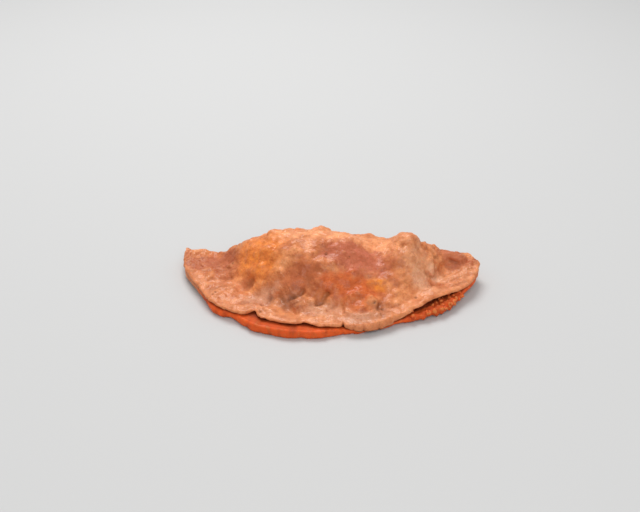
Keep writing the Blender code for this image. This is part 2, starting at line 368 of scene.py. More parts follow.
def unevenness(surface):
    """Overlaid long waves in seeded directions."""
    seeded = np.random.default_rng(WAVE_SEED)
    rise = 0.0
    for _ in range(WAVES):
        direction = seeded.normal(size=3)
        direction = direction / np.linalg.norm(direction)
        length = seeded.uniform(SHORT_WAVE, LONG_WAVE)
        shift = seeded.uniform(0.0, 2.0 * math.pi)
        rise = rise + np.sin(2.0 * math.pi * (surface @ direction) / length + shift)
    return WAVE_HEIGHT * rise / math.sqrt(WAVES / 2.0)


def crust_skin(
    sections, top_steps, under_steps, edge_steps, face_steps=0, crowding=1.35, thinned=False
):
    """The whole skin as one row of points for each section, from the fold round to the fold,
    with what is known of each point: its angle round the rim, x, distances and zone."""
    even = np.linspace(0.0, 1.0, sections + 1)
    turn = math.pi * (0.45 * even + 0.275 * (1.0 - np.cos(math.pi * even)))
    lift = through(LIFT, np.degrees(turn))[:, None]
    (x, from_fold, z), edge_zones = edge_strip(turn, edge_steps, face_steps, thinned)

    tips = x.mean(axis=1, keepdims=True)
    closing = rounded(from_fold.max(axis=1, keepdims=True) / (2.0 * DOUGH))
    x = tips + (x - tips) * closing
    from_fold = np.maximum(from_fold, 0.0) * closing
    middle = middle_height(tips, lift)
    z = middle + (z - middle) * closing
    edge = np.stack([x, fold_line(x) - from_fold, z], axis=-1)

    fold_x = tips * (1.0 - FAN * np.sin(turn))[:, None]
    top_x, top_d, top_in = layer(fold_x, x[:, :1], from_fold[:, :1], top_steps, crowding)
    top_z = relaxed(top_height(top_x, top_d, top_in, z[:, :1], lift))
    top = np.stack([top_x, fold_line(top_x) - top_d, top_z], axis=-1)
    rise = blistering(top, top_x, top_d) + unevenness(top)
    settled = eased(top_in / (2.0 * DOUGH)) * closing
    top = top + outward_of(top) * (rise * settled)[..., None]

    low_x, low_d, low_in = layer(fold_x, x[:, -1:], from_fold[:, -1:], under_steps, crowding)
    low_z = under_height(low_x, low_d, low_in, lift)
    under = np.stack([low_x, fold_line(low_x) - low_d, low_z], axis=-1)
    under[:, 0] = top[:, 0]

    zones = ["top"] * top_steps + edge_zones + ["under"] * under_steps
    return {
        "points": np.concatenate([top, edge, under[:, ::-1]], axis=1),
        "turn": turn,
        "closing": closing,
        "x": np.concatenate([top_x, x, low_x[:, ::-1]], axis=1),
        "from_fold": np.concatenate([top_d, from_fold, low_d[:, ::-1]], axis=1),
        "to_edge": np.concatenate([top_in, np.zeros(x.shape), low_in[:, ::-1]], axis=1),
        "zone": np.array(zones),
    }


# ---------------------------------------------------------------------------------------------
# Fine relief, brown tones, and painted shade and highlights
# ---------------------------------------------------------------------------------------------

# The conspicuous bubbles of fried skin, in millimetres: x, distance from the fold, radius and
# height.
BUBBLES = (
    (-64.0, 3.0, 4.5, 1.8),
    (-59.0, 15.0, 3.0, 1.0),
    (-51.0, 18.0, 2.6, 1.2),
    (-63.0, 21.0, 2.6, 0.8),
    (-36.0, 18.0, 3.6, 0.7),
    (-28.0, 24.0, 3.8, 0.9),
    (-14.0, 30.0, 3.6, 0.8),
    (-21.0, 36.0, 3.2, 0.8),
    (-22.0, 47.0, 3.0, 0.9),
    (-12.0, 49.0, 3.6, 1.3),
    (-6.0, 48.0, 2.6, 0.9),
    (11.0, 46.0, 2.2, 0.7),
    (19.0, 46.0, 2.2, 0.7),
    (4.0, 54.0, 3.4, 0.6),
    (46.0, 21.0, 2.5, 1.0),
    (61.0, 8.0, 3.4, 0.7),
)
# Creases between the big lumps, in millimetres: x and distance from the fold of both ends, half
# width and depth.
CREASES = (
    (-16.0, 47.0, -10.0, 44.0, 1.6, 1.6),
    (-20.0, 44.0, -17.0, 49.0, 1.8, 1.0),
    (-4.0, 49.0, 1.0, 45.0, 1.5, 1.8),
    (-27.0, 48.0, -25.0, 43.0, 1.3, 1.3),
    (-37.0, 34.0, -34.0, 33.0, 2.4, 0.7),
    (-9.0, 40.0, -6.0, 44.0, 1.8, 0.7),
    (22.0, 50.0, 24.0, 45.0, 1.4, 1.0),
    (33.0, 22.0, 35.0, 35.0, 1.3, 0.7),
    (48.0, 15.0, 58.0, 11.0, 1.6, 1.1),
    (44.0, 26.0, 49.0, 22.0, 1.2, 0.8),
)
# Folds that fan out over a wing, by turns sunk and raised: how many, both ends of the first and
# of the last, half width and depth.
FOLDS = (
    (6, (-46.0, 20.0, -59.0, 21.0), (-43.0, 35.0, -50.0, 42.0), 1.2, 0.65),
    (5, (48.0, 21.0, 56.0, 16.0), (53.0, 30.0, 64.0, 26.0), 1.1, 0.60),
)
# Walls of blisters whose tops have sunk, in millimetres: x, distance from the fold, radius, half
# width and height.
RINGS = (
    (15.0, 49.0, 6.2, 1.7, 1.5),
    (46.0, 21.0, 3.2, 1.2, 0.7),
    (-51.0, 19.0, 3.4, 1.2, 0.4),
)

# Seeded bubbles all over the outside, large and small: how many, the range of their radii, and
# that of their heights as a share of the radius.
SKIN_SEED = 23
SCATTERED = (
    (60, (2.2 * MM, 3.8 * MM), (0.16, 0.26)),
    (700, (0.6 * MM, 2.6 * MM), (0.10, 0.28)),
)
# Seeded burst bubbles no wider than a pin.
PIN_HOLES = 12
PIN_RADIUS = (0.6 * MM, 1.0 * MM)
PIN_DEPTH = (0.4 * MM, 0.7 * MM)

# Cracks and notches in the rim: degrees, half width in degrees and depth.
CRACKS = (
    (63.0, 2.4, 1.6 * MM),
    (97.0, 0.7, 2.4 * MM),
    (104.0, 0.5, 1.0 * MM),
    (110.0, 0.5, 0.9 * MM),
)
# Hair cracks by a seeded loop: how many, between which degrees, half width and greatest depth.
HAIR_CRACKS = (9, 25.0, 165.0, 0.6, 0.8 * MM)
HAIR_DEPTHS = (0.5, 1.0)  # as a share of the greatest
# How much of a crack each zone takes, and how far it runs in over the flange.
CRACK_SHARES = {"upper_edge": 1.0, "slit": 0.5, "lower_edge": 0.25}
CRACK_RUN = 2.2 * MM

# Lumps and the crawl of the skin: height, size and shift of each; the level they rise and sink
# about; and the height and size of the skin's grain.
LUMPS = ((0.45 * MM, 6.5 * MM, 3.0), (0.19 * MM, 3.0 * MM, 11.0))
LUMP_LEVEL = 0.45
GRAIN = (0.06 * MM, 1.2 * MM)
# The left wing is calmer: by what share, past which x, and over what run.
CALM = 0.4
CALM_FROM = -40.0 * MM
CALM_RUN = 8.0 * MM
# Wrinkles that run out over the flange, and wrinkles in rings round the right end: height and
# size; then the middle of those rings, by x and distance from the fold, and where they set in.
FLANGE_WRINKLES = (0.36 * MM, 2.4 * MM)
END_WRINKLES = (0.35 * MM, 1.9 * MM)
END_MIDDLE = (38.0 * MM, 16.0 * MM)
END_FROM = 42.0 * MM
END_RUN = 8.0 * MM

# How much of the relief each zone takes, and how it dies out towards the tips.
ZONE_SHARES = {"top": 1.0, "upper_edge": 0.7, "lower_edge": 0.4, "lower_face": 0.6}
UNDER_SHARE = 0.6
TIP_CLEAR = 2.0 * MM
TIP_RUN = 8.0 * MM
# Height and size of the lumps where the lower layer gapes, of the rim's raggedness and of the
# dents in the underside; and height, length and shift of the waves along the lower layer's lip.
GAPE_LUMPS = (0.9 * MM, 2.6 * MM)
RAGGED_RIM = (0.25 * MM, 1.7 * MM)
UNDER_DENTS = (0.3 * MM, 4.0 * MM)
LIP_WAVES = ((0.34 * MM, 3.6 * MM, 43.0), (0.40 * MM, 8.0 * MM, 44.0))
# The stretch of rim that is oily, in degrees: where it sets in and ends, and over what runs.
OILY_FROM, OILY_RUN_IN = 26.0, 22.0
OILY_TO, OILY_RUN_OUT = 150.0, 24.0

# Tones of the outside in layers, each over the last: the tone's colour, and its broad zones by
# x, distance from the fold, half length along x, half width across and strength. Most are the
# crust's own brown tones; some are painted shade, painted sheen and painted light, each marked.
TONES = {
    "honey": (
        (0.84, 0.335, 0.145),
        ((-20.0, 16.0, 16.0, 8.0, 0.9), (6.0, 17.0, 17.0, 7.0, 0.9), (28.0, 17.0, 11.0, 6.0, 0.8)),
    ),
    "amber": ((0.79, 0.215, 0.030), ((-32.0, 25.0, 12.0, 13.0, 0.9),)),
    "rose": ((0.50, 0.130, 0.062), ((12.0, 29.0, 18.0, 9.0, 1.0),)),
    "brick": (
        (0.45, 0.110, 0.035),
        ((-8.0, 40.0, 12.0, 6.0, 0.9), (-37.0, 33.0, 5.0, 4.0, 0.7)),
    ),
    "ember": (
        (0.58, 0.115, 0.022),
        ((11.0, 41.0, 17.0, 5.0, 1.0), (14.0, 49.5, 5.0, 3.5, 0.8)),
    ),
    # Painted light: a small bright yellow-orange spot in the red band.
    "painted_glow": ((0.80, 0.240, 0.030), ((23.0, 38.0, 4.5, 3.0, 0.9),)),
    "tan": (
        (0.66, 0.280, 0.135),
        ((41.0, 25.0, 8.0, 8.0, 0.7), (60.0, 17.0, 9.0, 7.0, 0.7)),
    ),
    "peach": (
        (0.69, 0.265, 0.120),
        ((58.0, 27.0, 9.0, 5.0, 0.7), (-45.0, 33.0, 10.0, 7.0, 0.6)),
    ),
    # Painted sheen: two pale patches on the right end.
    "painted_sheen": ((0.80, 0.420, 0.240), ((43.0, 31.0, 5.0, 5.0, 0.8), (48.0, 22.0, 4.0, 3.0, 0.8))),
    # Paler dough with painted sheen over it, in a band along the foot and the flange.
    "pale_dough_and_sheen": (
        (0.58, 0.270, 0.155),
        ((-30.0, 43.0, 9.0, 5.0, 0.8), (0.0, 52.0, 12.0, 4.0, 0.7), (14.0, 56.0, 9.0, 4.0, 0.7)),
    ),
    # Painted shade: dark in two hollows along the foot of the filling.
    "hollow_shade": ((0.42, 0.155, 0.075), ((-17.0, 47.0, 7.0, 4.0, 0.8), (24.0, 49.0, 4.0, 5.0, 0.7))),
    # Painted shade: dark over the left wing and in the right end's hollow, near the fold.
    "wing_shade": (
        (0.44, 0.115, 0.050),
        ((-57.0, 13.0, 14.0, 8.0, 0.9), (-47.0, 23.0, 6.0, 6.0, 0.7), (58.0, 9.0, 11.0, 5.0, 0.8)),
    ),
}


def grain(points, size, shift=0.0):
    """Smooth noise, about -1 to 1, with bumps of the given size."""
    places = points.reshape(-1, 3) / size + shift
    values = [noise.noise(Vector(place)) for place in places]
    return np.array(values).reshape(points.shape[:-1])


def billows(points, size, shift=0.0):
    """Noise with round tops and sharp valleys, 0 in the valleys and about 1 on the tops."""
    return 2.0 * np.abs(grain(points, size, shift))


class Relief:
    """Adds up how far each point of the skin rises, how much it belongs to a bubble, and how dark
    the painted shade in pits and creases makes it.
    """

    def __init__(self, skin):
        self.skin = skin
        self.top = skin["zone"] == "top"
        self.points = skin["points"].reshape(-1, 3)
        drift = [grain(skin["points"], 3.4 * MM, 71.0 + 10.0 * axis) for axis in range(3)]
        self.warped = self.points + 1.1 * MM * np.stack(drift, axis=-1).reshape(-1, 3)
        self.ragged = 0.25 * grain(skin["points"], 1.3 * MM, 71.0).reshape(-1)
        self.rise = np.zeros(len(self.points))
        self.bubble = np.zeros(len(self.points))
        self.pit_shade = np.zeros(len(self.points))
        self.tree = kdtree.KDTree(len(self.points))
        for index, point in enumerate(self.points):
            self.tree.insert(point, index)
        self.tree.balance()

    def place(self, at_x, at_d):
        """The point of the outside nearest to an x and a distance from the fold, in millimetres."""
        skin, top = self.skin, self.top
        outside = skin["points"][:, top]
        return place_of(outside, skin["x"][:, top], skin["from_fold"][:, top], at_x * MM, at_d * MM)

    def near(self, centre, radius):
        """The points within a radius, with their warped places, which make round things uneven."""
        found = self.tree.find_range(Vector(centre), radius + 1.0 * MM)
        index = np.array([row[1] for row in found], dtype=int)
        return index, self.warped[index]

    def add_bubble(self, centre, radius, height):
        """A bubble of skin with a faint ditch round it."""
        index, places = self.near(centre, radius * 1.4)
        drift = min(1.0, radius / (3.0 * MM))
        places = self.points[index] + drift * (places - self.points[index])
        away = np.linalg.norm(places - centre, axis=-1) / radius
        ditch = 0.20 * mound((away - 1.1) / 0.3)
        self.rise[index] += height * (dome(away) - ditch)
        self.bubble[index] = np.maximum(self.bubble[index], dome(away))

    def add_pit(self, centre, radius, depth):
        """A burst bubble: a hole with a thin raised rim."""
        index, _ = self.near(centre, radius * 1.7)
        away = np.linalg.norm(self.points[index] - centre, axis=-1) / radius
        away = away * (1.0 + self.ragged[index])
        rim = 0.18 * mound((away - 1.1) / 0.4)
        self.rise[index] += depth * (rim - mound(away))
        # Painted shade in the hole.
        self.pit_shade[index] = np.maximum(self.pit_shade[index], mound(away / 1.1))

    def add_crevice(self, start, end, width, depth):
        """A groove that fades at both ends, or a ridge if its depth is negative."""
        middle, reach = (start + end) / 2.0, np.linalg.norm(end - start) / 2.0
        index, places = self.near(middle, reach + width * 1.8)
        along = np.clip((places - start) @ (end - start) / (2.0 * reach) ** 2, 0.0, 1.0)
        away = np.linalg.norm(places - (start + along[:, None] * (end - start)), axis=1) / width
        away = away * (1.0 + self.ragged[index])
        share = mound(away / 1.3) * (0.5 + 0.5 * mound((along - 0.5) / 0.8))
        self.rise[index] -= depth * share
        # Painted shade: a groove is darker the deeper it is.
        if depth > 0.0:
            dark = np.clip(depth / (1.7 * MM), 0.0, 1.0) * share**1.3
            self.pit_shade[index] = np.maximum(self.pit_shade[index], dark)

    def add_ring(self, centre, radius, width, height):
        """A raised ring, like the wall of a blister whose top has sunk."""
        index, places = self.near(centre, radius + width * 1.3)
        away = np.linalg.norm(places - centre, axis=-1)
        self.rise[index] += height * mound((away - radius) / (1.3 * width))


def fanned_folds():
    """The folds of FOLDS one by one, in the form of the creases."""
    folds = []
    for count, first, last, width, depth in FOLDS:
        for number in range(count):
            ends = np.array(first) + (np.array(last) - first) * number / (count - 1)
            folds.append((*ends, width, depth * (-1.0) ** number))
    return folds


def hair_cracks():
    """Seeded fine cracks round the rim, in the form of the cracks."""
    count, first, last, width, depth = HAIR_CRACKS
    seeded = np.random.default_rng(SKIN_SEED)
    cracks = []
    for _ in range(count):
        at = seeded.uniform(first, last)
        cracks.append((at, width, depth * seeded.uniform(*HAIR_DEPTHS)))
    return cracks


def fine_relief(skin):
    """All relief finer than the solid's, as a rise along the outward direction, with the masks
    of bubbles and of the painted shade in pits and creases."""
    relief = Relief(skin)
    for at_x, at_d, radius, height in BUBBLES:
        relief.add_bubble(relief.place(at_x, at_d), radius * MM, height * MM)
    for start_x, start_d, end_x, end_d, width, depth in (*CREASES, *fanned_folds()):
        start, end = relief.place(start_x, start_d), relief.place(end_x, end_d)
        relief.add_crevice(start, end, width * MM, depth * MM)
    for at_x, at_d, radius, width, height in RINGS:
        relief.add_ring(relief.place(at_x, at_d), radius * MM, width * MM, height * MM)

    seeded = np.random.default_rng(SKIN_SEED)
    outside = skin["points"][:, relief.top]
    rows, columns = outside.shape[:2]
    for count, (smallest, largest), height in SCATTERED:
        for _ in range(count):
            centre = outside[seeded.integers(6, rows - 6), seeded.integers(0, columns)]
            radius = smallest + (largest - smallest) * seeded.random() ** 3.0
            relief.add_bubble(centre, radius, radius * seeded.uniform(*height))
    for _ in range(PIN_HOLES):
        centre = outside[seeded.integers(rows // 4, 3 * rows // 4), seeded.integers(0, columns)]
        relief.add_pit(centre, seeded.uniform(*PIN_RADIUS), seeded.uniform(*PIN_DEPTH))
    rise, bubble, pit_shade = (
        values.reshape(skin["x"].shape) for values in (relief.rise, relief.bubble, relief.pit_shade)
    )

    # Lumps, the crawl of the skin, and its grain, all calmer on the left wing.
    points = skin["points"]
    for height, size, shift in LUMPS:
        rise += height * (billows(points, size, shift) - LUMP_LEVEL)
    rise += GRAIN[0] * grain(points, GRAIN[1], 19.0)
    rise *= 1.0 - CALM * eased((CALM_FROM - skin["x"]) / CALM_RUN)

    # Wrinkles that run out over the flange, and round the right end.
    flat = 0.0 * skin["x"]
    along_rim = skin["turn"][:, None] * RIM_DEPTH + flat
    strip = np.stack([along_rim, skin["to_edge"] * 0.25, flat], axis=-1)
    flange = 1.0 - eased(skin["to_edge"] / FLANGE_WIDTH)
    rise += FLANGE_WRINKLES[0] * flange * grain(strip, FLANGE_WRINKLES[1], 7.0)
    round_end = np.hypot(skin["x"] - END_MIDDLE[0], skin["from_fold"] - END_MIDDLE[1])
    rings = np.stack([round_end, along_rim * 0.25, flat], axis=-1)
    end = eased((skin["x"] - END_FROM) / END_RUN)
    rise += END_WRINKLES[0] * end * grain(rings, END_WRINKLES[1], 9.0)
    return rise, bubble, pit_shade


def settle(skin, rise):
    """Weights the rise by zone, cracks the rim, and moves the skin's points."""
    zone, points = skin["zone"], skin["points"]
    weight = np.zeros(rise.shape)
    for name, share in ZONE_SHARES.items():
        weight[:, zone == name] = share
    under = zone == "under"
    weight[:, under] = UNDER_SHARE * eased(points[:, under, 2] / (2.0 * MM))
    tips = points[[0, -1], 0]
    to_tip = np.minimum(*(np.linalg.norm(points - tip, axis=-1) for tip in tips))
    from_tip = eased((to_tip - TIP_CLEAR) / TIP_RUN)
    rise = rise * weight * from_tip

    # The lower layer is rough where it gapes, and waves along its lip.
    gaping = eased((parting(skin["turn"], 3) - 0.8 * MM) / (1.2 * MM))[:, None]
    lumps = GAPE_LUMPS[0] * (billows(points, GAPE_LUMPS[1], 81.0) - 0.3)
    rise += np.isin(zone, ("lower_face", "lower_edge")) * gaping * lumps * from_tip
    along_rim = skin["turn"][:, None] * RIM_DEPTH + 0.0 * skin["x"]
    upright = np.stack([along_rim, points[..., 2] * 0.3, 0.0 * along_rim], axis=-1)
    waves = sum(height * grain(upright, length, shift) for height, length, shift in LIP_WAVES)
    rise += (zone == "lower_edge") * waves * from_tip
    moved = points + outward_of(points) * (rise * skin["closing"])[..., None]

    # Notches and cracks run inward from the rim.
    degrees = np.degrees(skin["turn"])
    cracks = (*CRACKS, *hair_cracks())
    notches = sum(depth * mound((degrees - at) / width) for at, width, depth in cracks)[:, None]
    fade = np.zeros(rise.shape)
    for name, share in CRACK_SHARES.items():
        fade[:, zone == name] = share
    fade = np.where(zone == "top", np.exp(-skin["to_edge"] / CRACK_RUN), fade)
    ragged = RAGGED_RIM[0] * grain(points, RAGGED_RIM[1], 41.0)
    inward = (notches + ragged) * fade * from_tip
    outward = rim_outlines(skin["turn"])[2]
    moved[..., 0] -= outward[0][:, None] * inward
    moved[..., 1] += outward[1][:, None] * inward

    flat = (zone == "under") & (points[..., 2] < 0.01 * MM)
    dents = UNDER_DENTS[0] * np.clip(grain(points, UNDER_DENTS[1], 51.0), 0.0, None)
    moved[..., 2] = np.where(flat, dents * eased(skin["from_fold"] / (12.0 * MM)), moved[..., 2])
    moved[..., 2] = np.maximum(moved[..., 2], 0.0)
    moved[:, -1] = moved[:, 0]
    return moved


def tone_mask(skin, zones, wander):
    """Broad zones of the outside as one mask from 0 to 1, with wandering edges."""
    clear = np.ones(skin["x"].shape)
    for at_x, at_d, half_x, half_d, strength in zones:
        across = (skin["from_fold"] - at_d * MM) / (half_d * MM)
        away = np.hypot((skin["x"] - at_x * MM) / (half_x * MM), across)
        clear *= 1.0 - strength * eased(1.15 * (1.35 - away + 0.60 * wander))
    return (1.0 - clear) * np.isin(skin["zone"], ("top", "upper_edge"))


def browning_and_painted_light(skin, bubble, pit_shade):
    """The masks that the crust's material reads, each from 0 to 1."""
    zone, points = skin["zone"], skin["points"]
    everywhere = np.ones(skin["x"].shape)
    wander = 0.6 * grain(points, 6.0 * MM, 61.0) + 0.5 * grain(points, 2.2 * MM, 67.0)
    masks = {name: tone_mask(skin, zones, wander) for name, (_, zones) in TONES.items()}
    flange = (1.0 - eased(skin["to_edge"] / (0.8 * FLANGE_WIDTH))) * (zone == "top")
    masks["peach"] = np.maximum(masks["peach"], 0.9 * flange)
    masks["rim"] = everywhere * np.isin(zone, ("upper_edge", "lower_edge"))
    degrees = np.degrees(skin["turn"])[:, None]
    open_rim = eased((degrees - OILY_FROM) / OILY_RUN_IN)
    open_rim = open_rim * (1.0 - eased((degrees - OILY_TO) / OILY_RUN_OUT))
    oily = eased(1.3 * open_rim + 0.6 * wander * (1.0 - open_rim))
    masks["lower"] = oily * np.isin(zone, ("lower_face", "lower_edge"))
    # Where the layers gape; the lower layer is darkened there as painted shade under the upper one.
    masks["gaping"] = masks["lower"] * eased(parting(skin["turn"], 3) / (1.2 * MM))[:, None]
    masks["slit"] = everywhere * (zone == "slit")
    # Painted shade round the slit between the layers: over the inner part of the lower layer's
    # face, the top of its lip where the upper layer covers it, and the lower part of the upper
    # layer's edge.
    masks["slit_shade"] = everywhere * (zone == "lower_face")
    inner = np.flatnonzero(zone == "lower_face")
    masks["slit_shade"][:, inner] *= 1.0 - 0.75 * eased(np.linspace(-0.3, 1.3, len(inner)))
    covered = open_rim * (1.0 - eased(parting(skin["turn"], 2) / (2.5 * MM))[:, None])
    lip = np.flatnonzero(zone == "lower_edge")
    masks["slit_shade"][:, lip] = covered * (1.0 - eased(np.linspace(0.0, 3.0, len(lip))))
    edge = np.flatnonzero(zone == "upper_edge")
    masks["slit_shade"][:, edge] = open_rim * eased(np.linspace(-2.4, 1.4, len(edge)))
    along_rim = skin["turn"][:, None] * RIM_DEPTH + 0.0 * skin["x"]
    upright = np.stack([along_rim, points[..., 2] * 0.35, 0.0 * along_rim], axis=-1)
    masks["streak"] = eased(1.9 * grain(upright, 2.4 * MM, 47.0) - 0.05)
    masks["under"] = everywhere * (zone == "under")
    masks["bubble"] = bubble
    masks["pit_shade"] = pit_shade
    return masks


def mesh_of(name, points, masks):
    """The skin as a closed mesh: both ends of every section meet on the fold, and the first and
    the last section shrink to the tips."""
    rows, columns = points.shape[:2]
    index = np.arange(rows * columns).reshape(rows, columns)
    index[:, -1] = index[:, 0]
    index[0, :] = index[0, 0]
    index[-1, :] = index[-1, 0]
    quads = np.stack([index[:-1, :-1], index[:-1, 1:], index[1:, 1:], index[1:, :-1]], axis=-1)
    used, quads = np.unique(quads.reshape(-1, 4), return_inverse=True)
    faces = []
    for quad in quads.reshape(-1, 4).tolist():
        corners = [corner for at, corner in enumerate(quad) if corner != quad[at - 1]]
        if len(set(corners)) > 2:
            faces.append(corners)
    mesh = bpy.data.meshes.new(name)
    mesh.from_pydata(points.reshape(-1, 3)[used].tolist(), [], faces)
    for mask, values in masks.items():
        layer_of = mesh.attributes.new(mask, "FLOAT", "POINT")
        layer_of.data.foreach_set("value", values.reshape(-1)[used].astype(np.float32))
    mesh.validate()
    mesh.shade_smooth()
    return mesh


# ---------------------------------------------------------------------------------------------
# Materials
# ---------------------------------------------------------------------------------------------


class Value:
    """A number that changes over the surface; arithmetic on it adds Math nodes."""

    def __init__(self, finish, socket):
        self.finish = finish
        self.socket = socket

    def math(self, operation, *others):
        inputs = dict(enumerate((self, *others)))
        made = self.finish.node("ShaderNodeMath", {"operation": operation}, inputs)
        return Value(self.finish, made)

    def __add__(self, other):
        return self.math("ADD", other)

    def __sub__(self, other):
        return self.math("SUBTRACT", other)

    def __rsub__(self, other):
        return (self * -1.0) + other

    def __mul__(self, other):
        return self.math("MULTIPLY", other)

    def __pow__(self, other):
        return self.math("POWER", other)

    __radd__ = __add__
    __rmul__ = __mul__

    def held(self):
        """Kept between 0 and 1."""
        return self.math("MAXIMUM", 0.0).math("MINIMUM", 1.0)

    def between(self, low, high):
        """0 up to low, 1 from high on, smooth between; it falls where low is the larger."""
        settings = {"interpolation_type": "SMOOTHSTEP"}
        inputs = {"Value": self, "From Min": low, "From Max": high}
        return Value(self.finish, self.finish.node("ShaderNodeMapRange", settings, inputs))


class Finish:
    """One material, built on its Principled shader."""

    def __init__(self, name):
        self.material = bpy.data.materials.new(name)
        self.material.use_nodes = True
        self.tree = self.material.node_tree
        self.shader = self.tree.nodes["Principled BSDF"]
        coordinates = self.tree.nodes.new("ShaderNodeTexCoord")
        self.position = coordinates.outputs["Object"]

    def put(self, target, value):
        value = value.socket if isinstance(value, Value) else value
        if isinstance(value, bpy.types.NodeSocket):
            self.tree.links.new(value, target)
        else:
            target.default_value = value

    def node(self, kind, settings=None, inputs=None, output=0):
        """Adds a node: its settings first, then its inputs by name or number; gives an output."""
        made = self.tree.nodes.new(kind)
        for name, value in (settings or {}).items():
            setattr(made, name, value)
        for name, value in (inputs or {}).items():
            self.put(made.inputs[name], value)
        return made.outputs[output]

    def mask(self, name):
        return Value(self, self.node("ShaderNodeAttribute", {"attribute_name": name}, output="Fac"))

    def moved(self, shift):
        """Places on the piece, moved so that two patterns don't fall together."""
        inputs = {0: self.position, 1: (shift, shift, shift)}
        return self.node("ShaderNodeVectorMath", {"operation": "ADD"}, inputs)

    def noise(self, size, detail=2.0, shift=0.0):
        """Noise from 0 to 1, with bumps of the given size in metres."""
        inputs = {"Vector": self.moved(shift), "Scale": 1.0 / size, "Detail": detail}
        return Value(self, self.node("ShaderNodeTexNoise", {}, inputs))

    def cells(self, size, shift=0.0):
        """Distance to the nearest of scattered points, 0 at a point and about 1 between them."""
        inputs = {"Vector": self.moved(shift), "Scale": 1.0 / size}
        return Value(self, self.node("ShaderNodeTexVoronoi", {}, inputs))

    def blend(self, factor, first, second, mode="MIX"):
        """The second colour over the first by a factor."""
        settings = {"data_type": "RGBA", "blend_type": mode}
        inputs = {0: factor, 6: first, 7: second}
        return self.node("ShaderNodeMix", settings, inputs, output=2)

    def bump(self, height, distance, strength=1.0):
        inputs = {"Height": height, "Distance": distance, "Strength": strength}
        self.put(self.shader.inputs["Normal"], self.node("ShaderNodeBump", {}, inputs))


def rgb(red, green, blue):
    return (red, green, blue, 1.0)


GOLDEN = rgb(0.72, 0.260, 0.095)
BROWN_TONE = rgb(0.48, 0.110, 0.028)
LIGHT_TONE = rgb(0.82, 0.350, 0.150)
RIM_TONE = rgb(0.70, 0.245, 0.095)
OILY_TONE = rgb(0.85, 0.115, 0.016)
OILY_DARK = rgb(0.36, 0.040, 0.006)
AMBER_BIT = rgb(0.70, 0.205, 0.050)
# Painted shade: near-black for the slit between the layers and round it.
SLIT_SHADE = rgb(0.16, 0.022, 0.005)
DEEPER = rgb(0.74, 0.60, 0.50)
PALER = rgb(1.22, 1.32, 1.45)
# Painted shade in pits and creases.
PIT_SHADE = rgb(0.15, 0.045, 0.010)
FRECKLE_TONE = rgb(0.36, 0.085, 0.026)


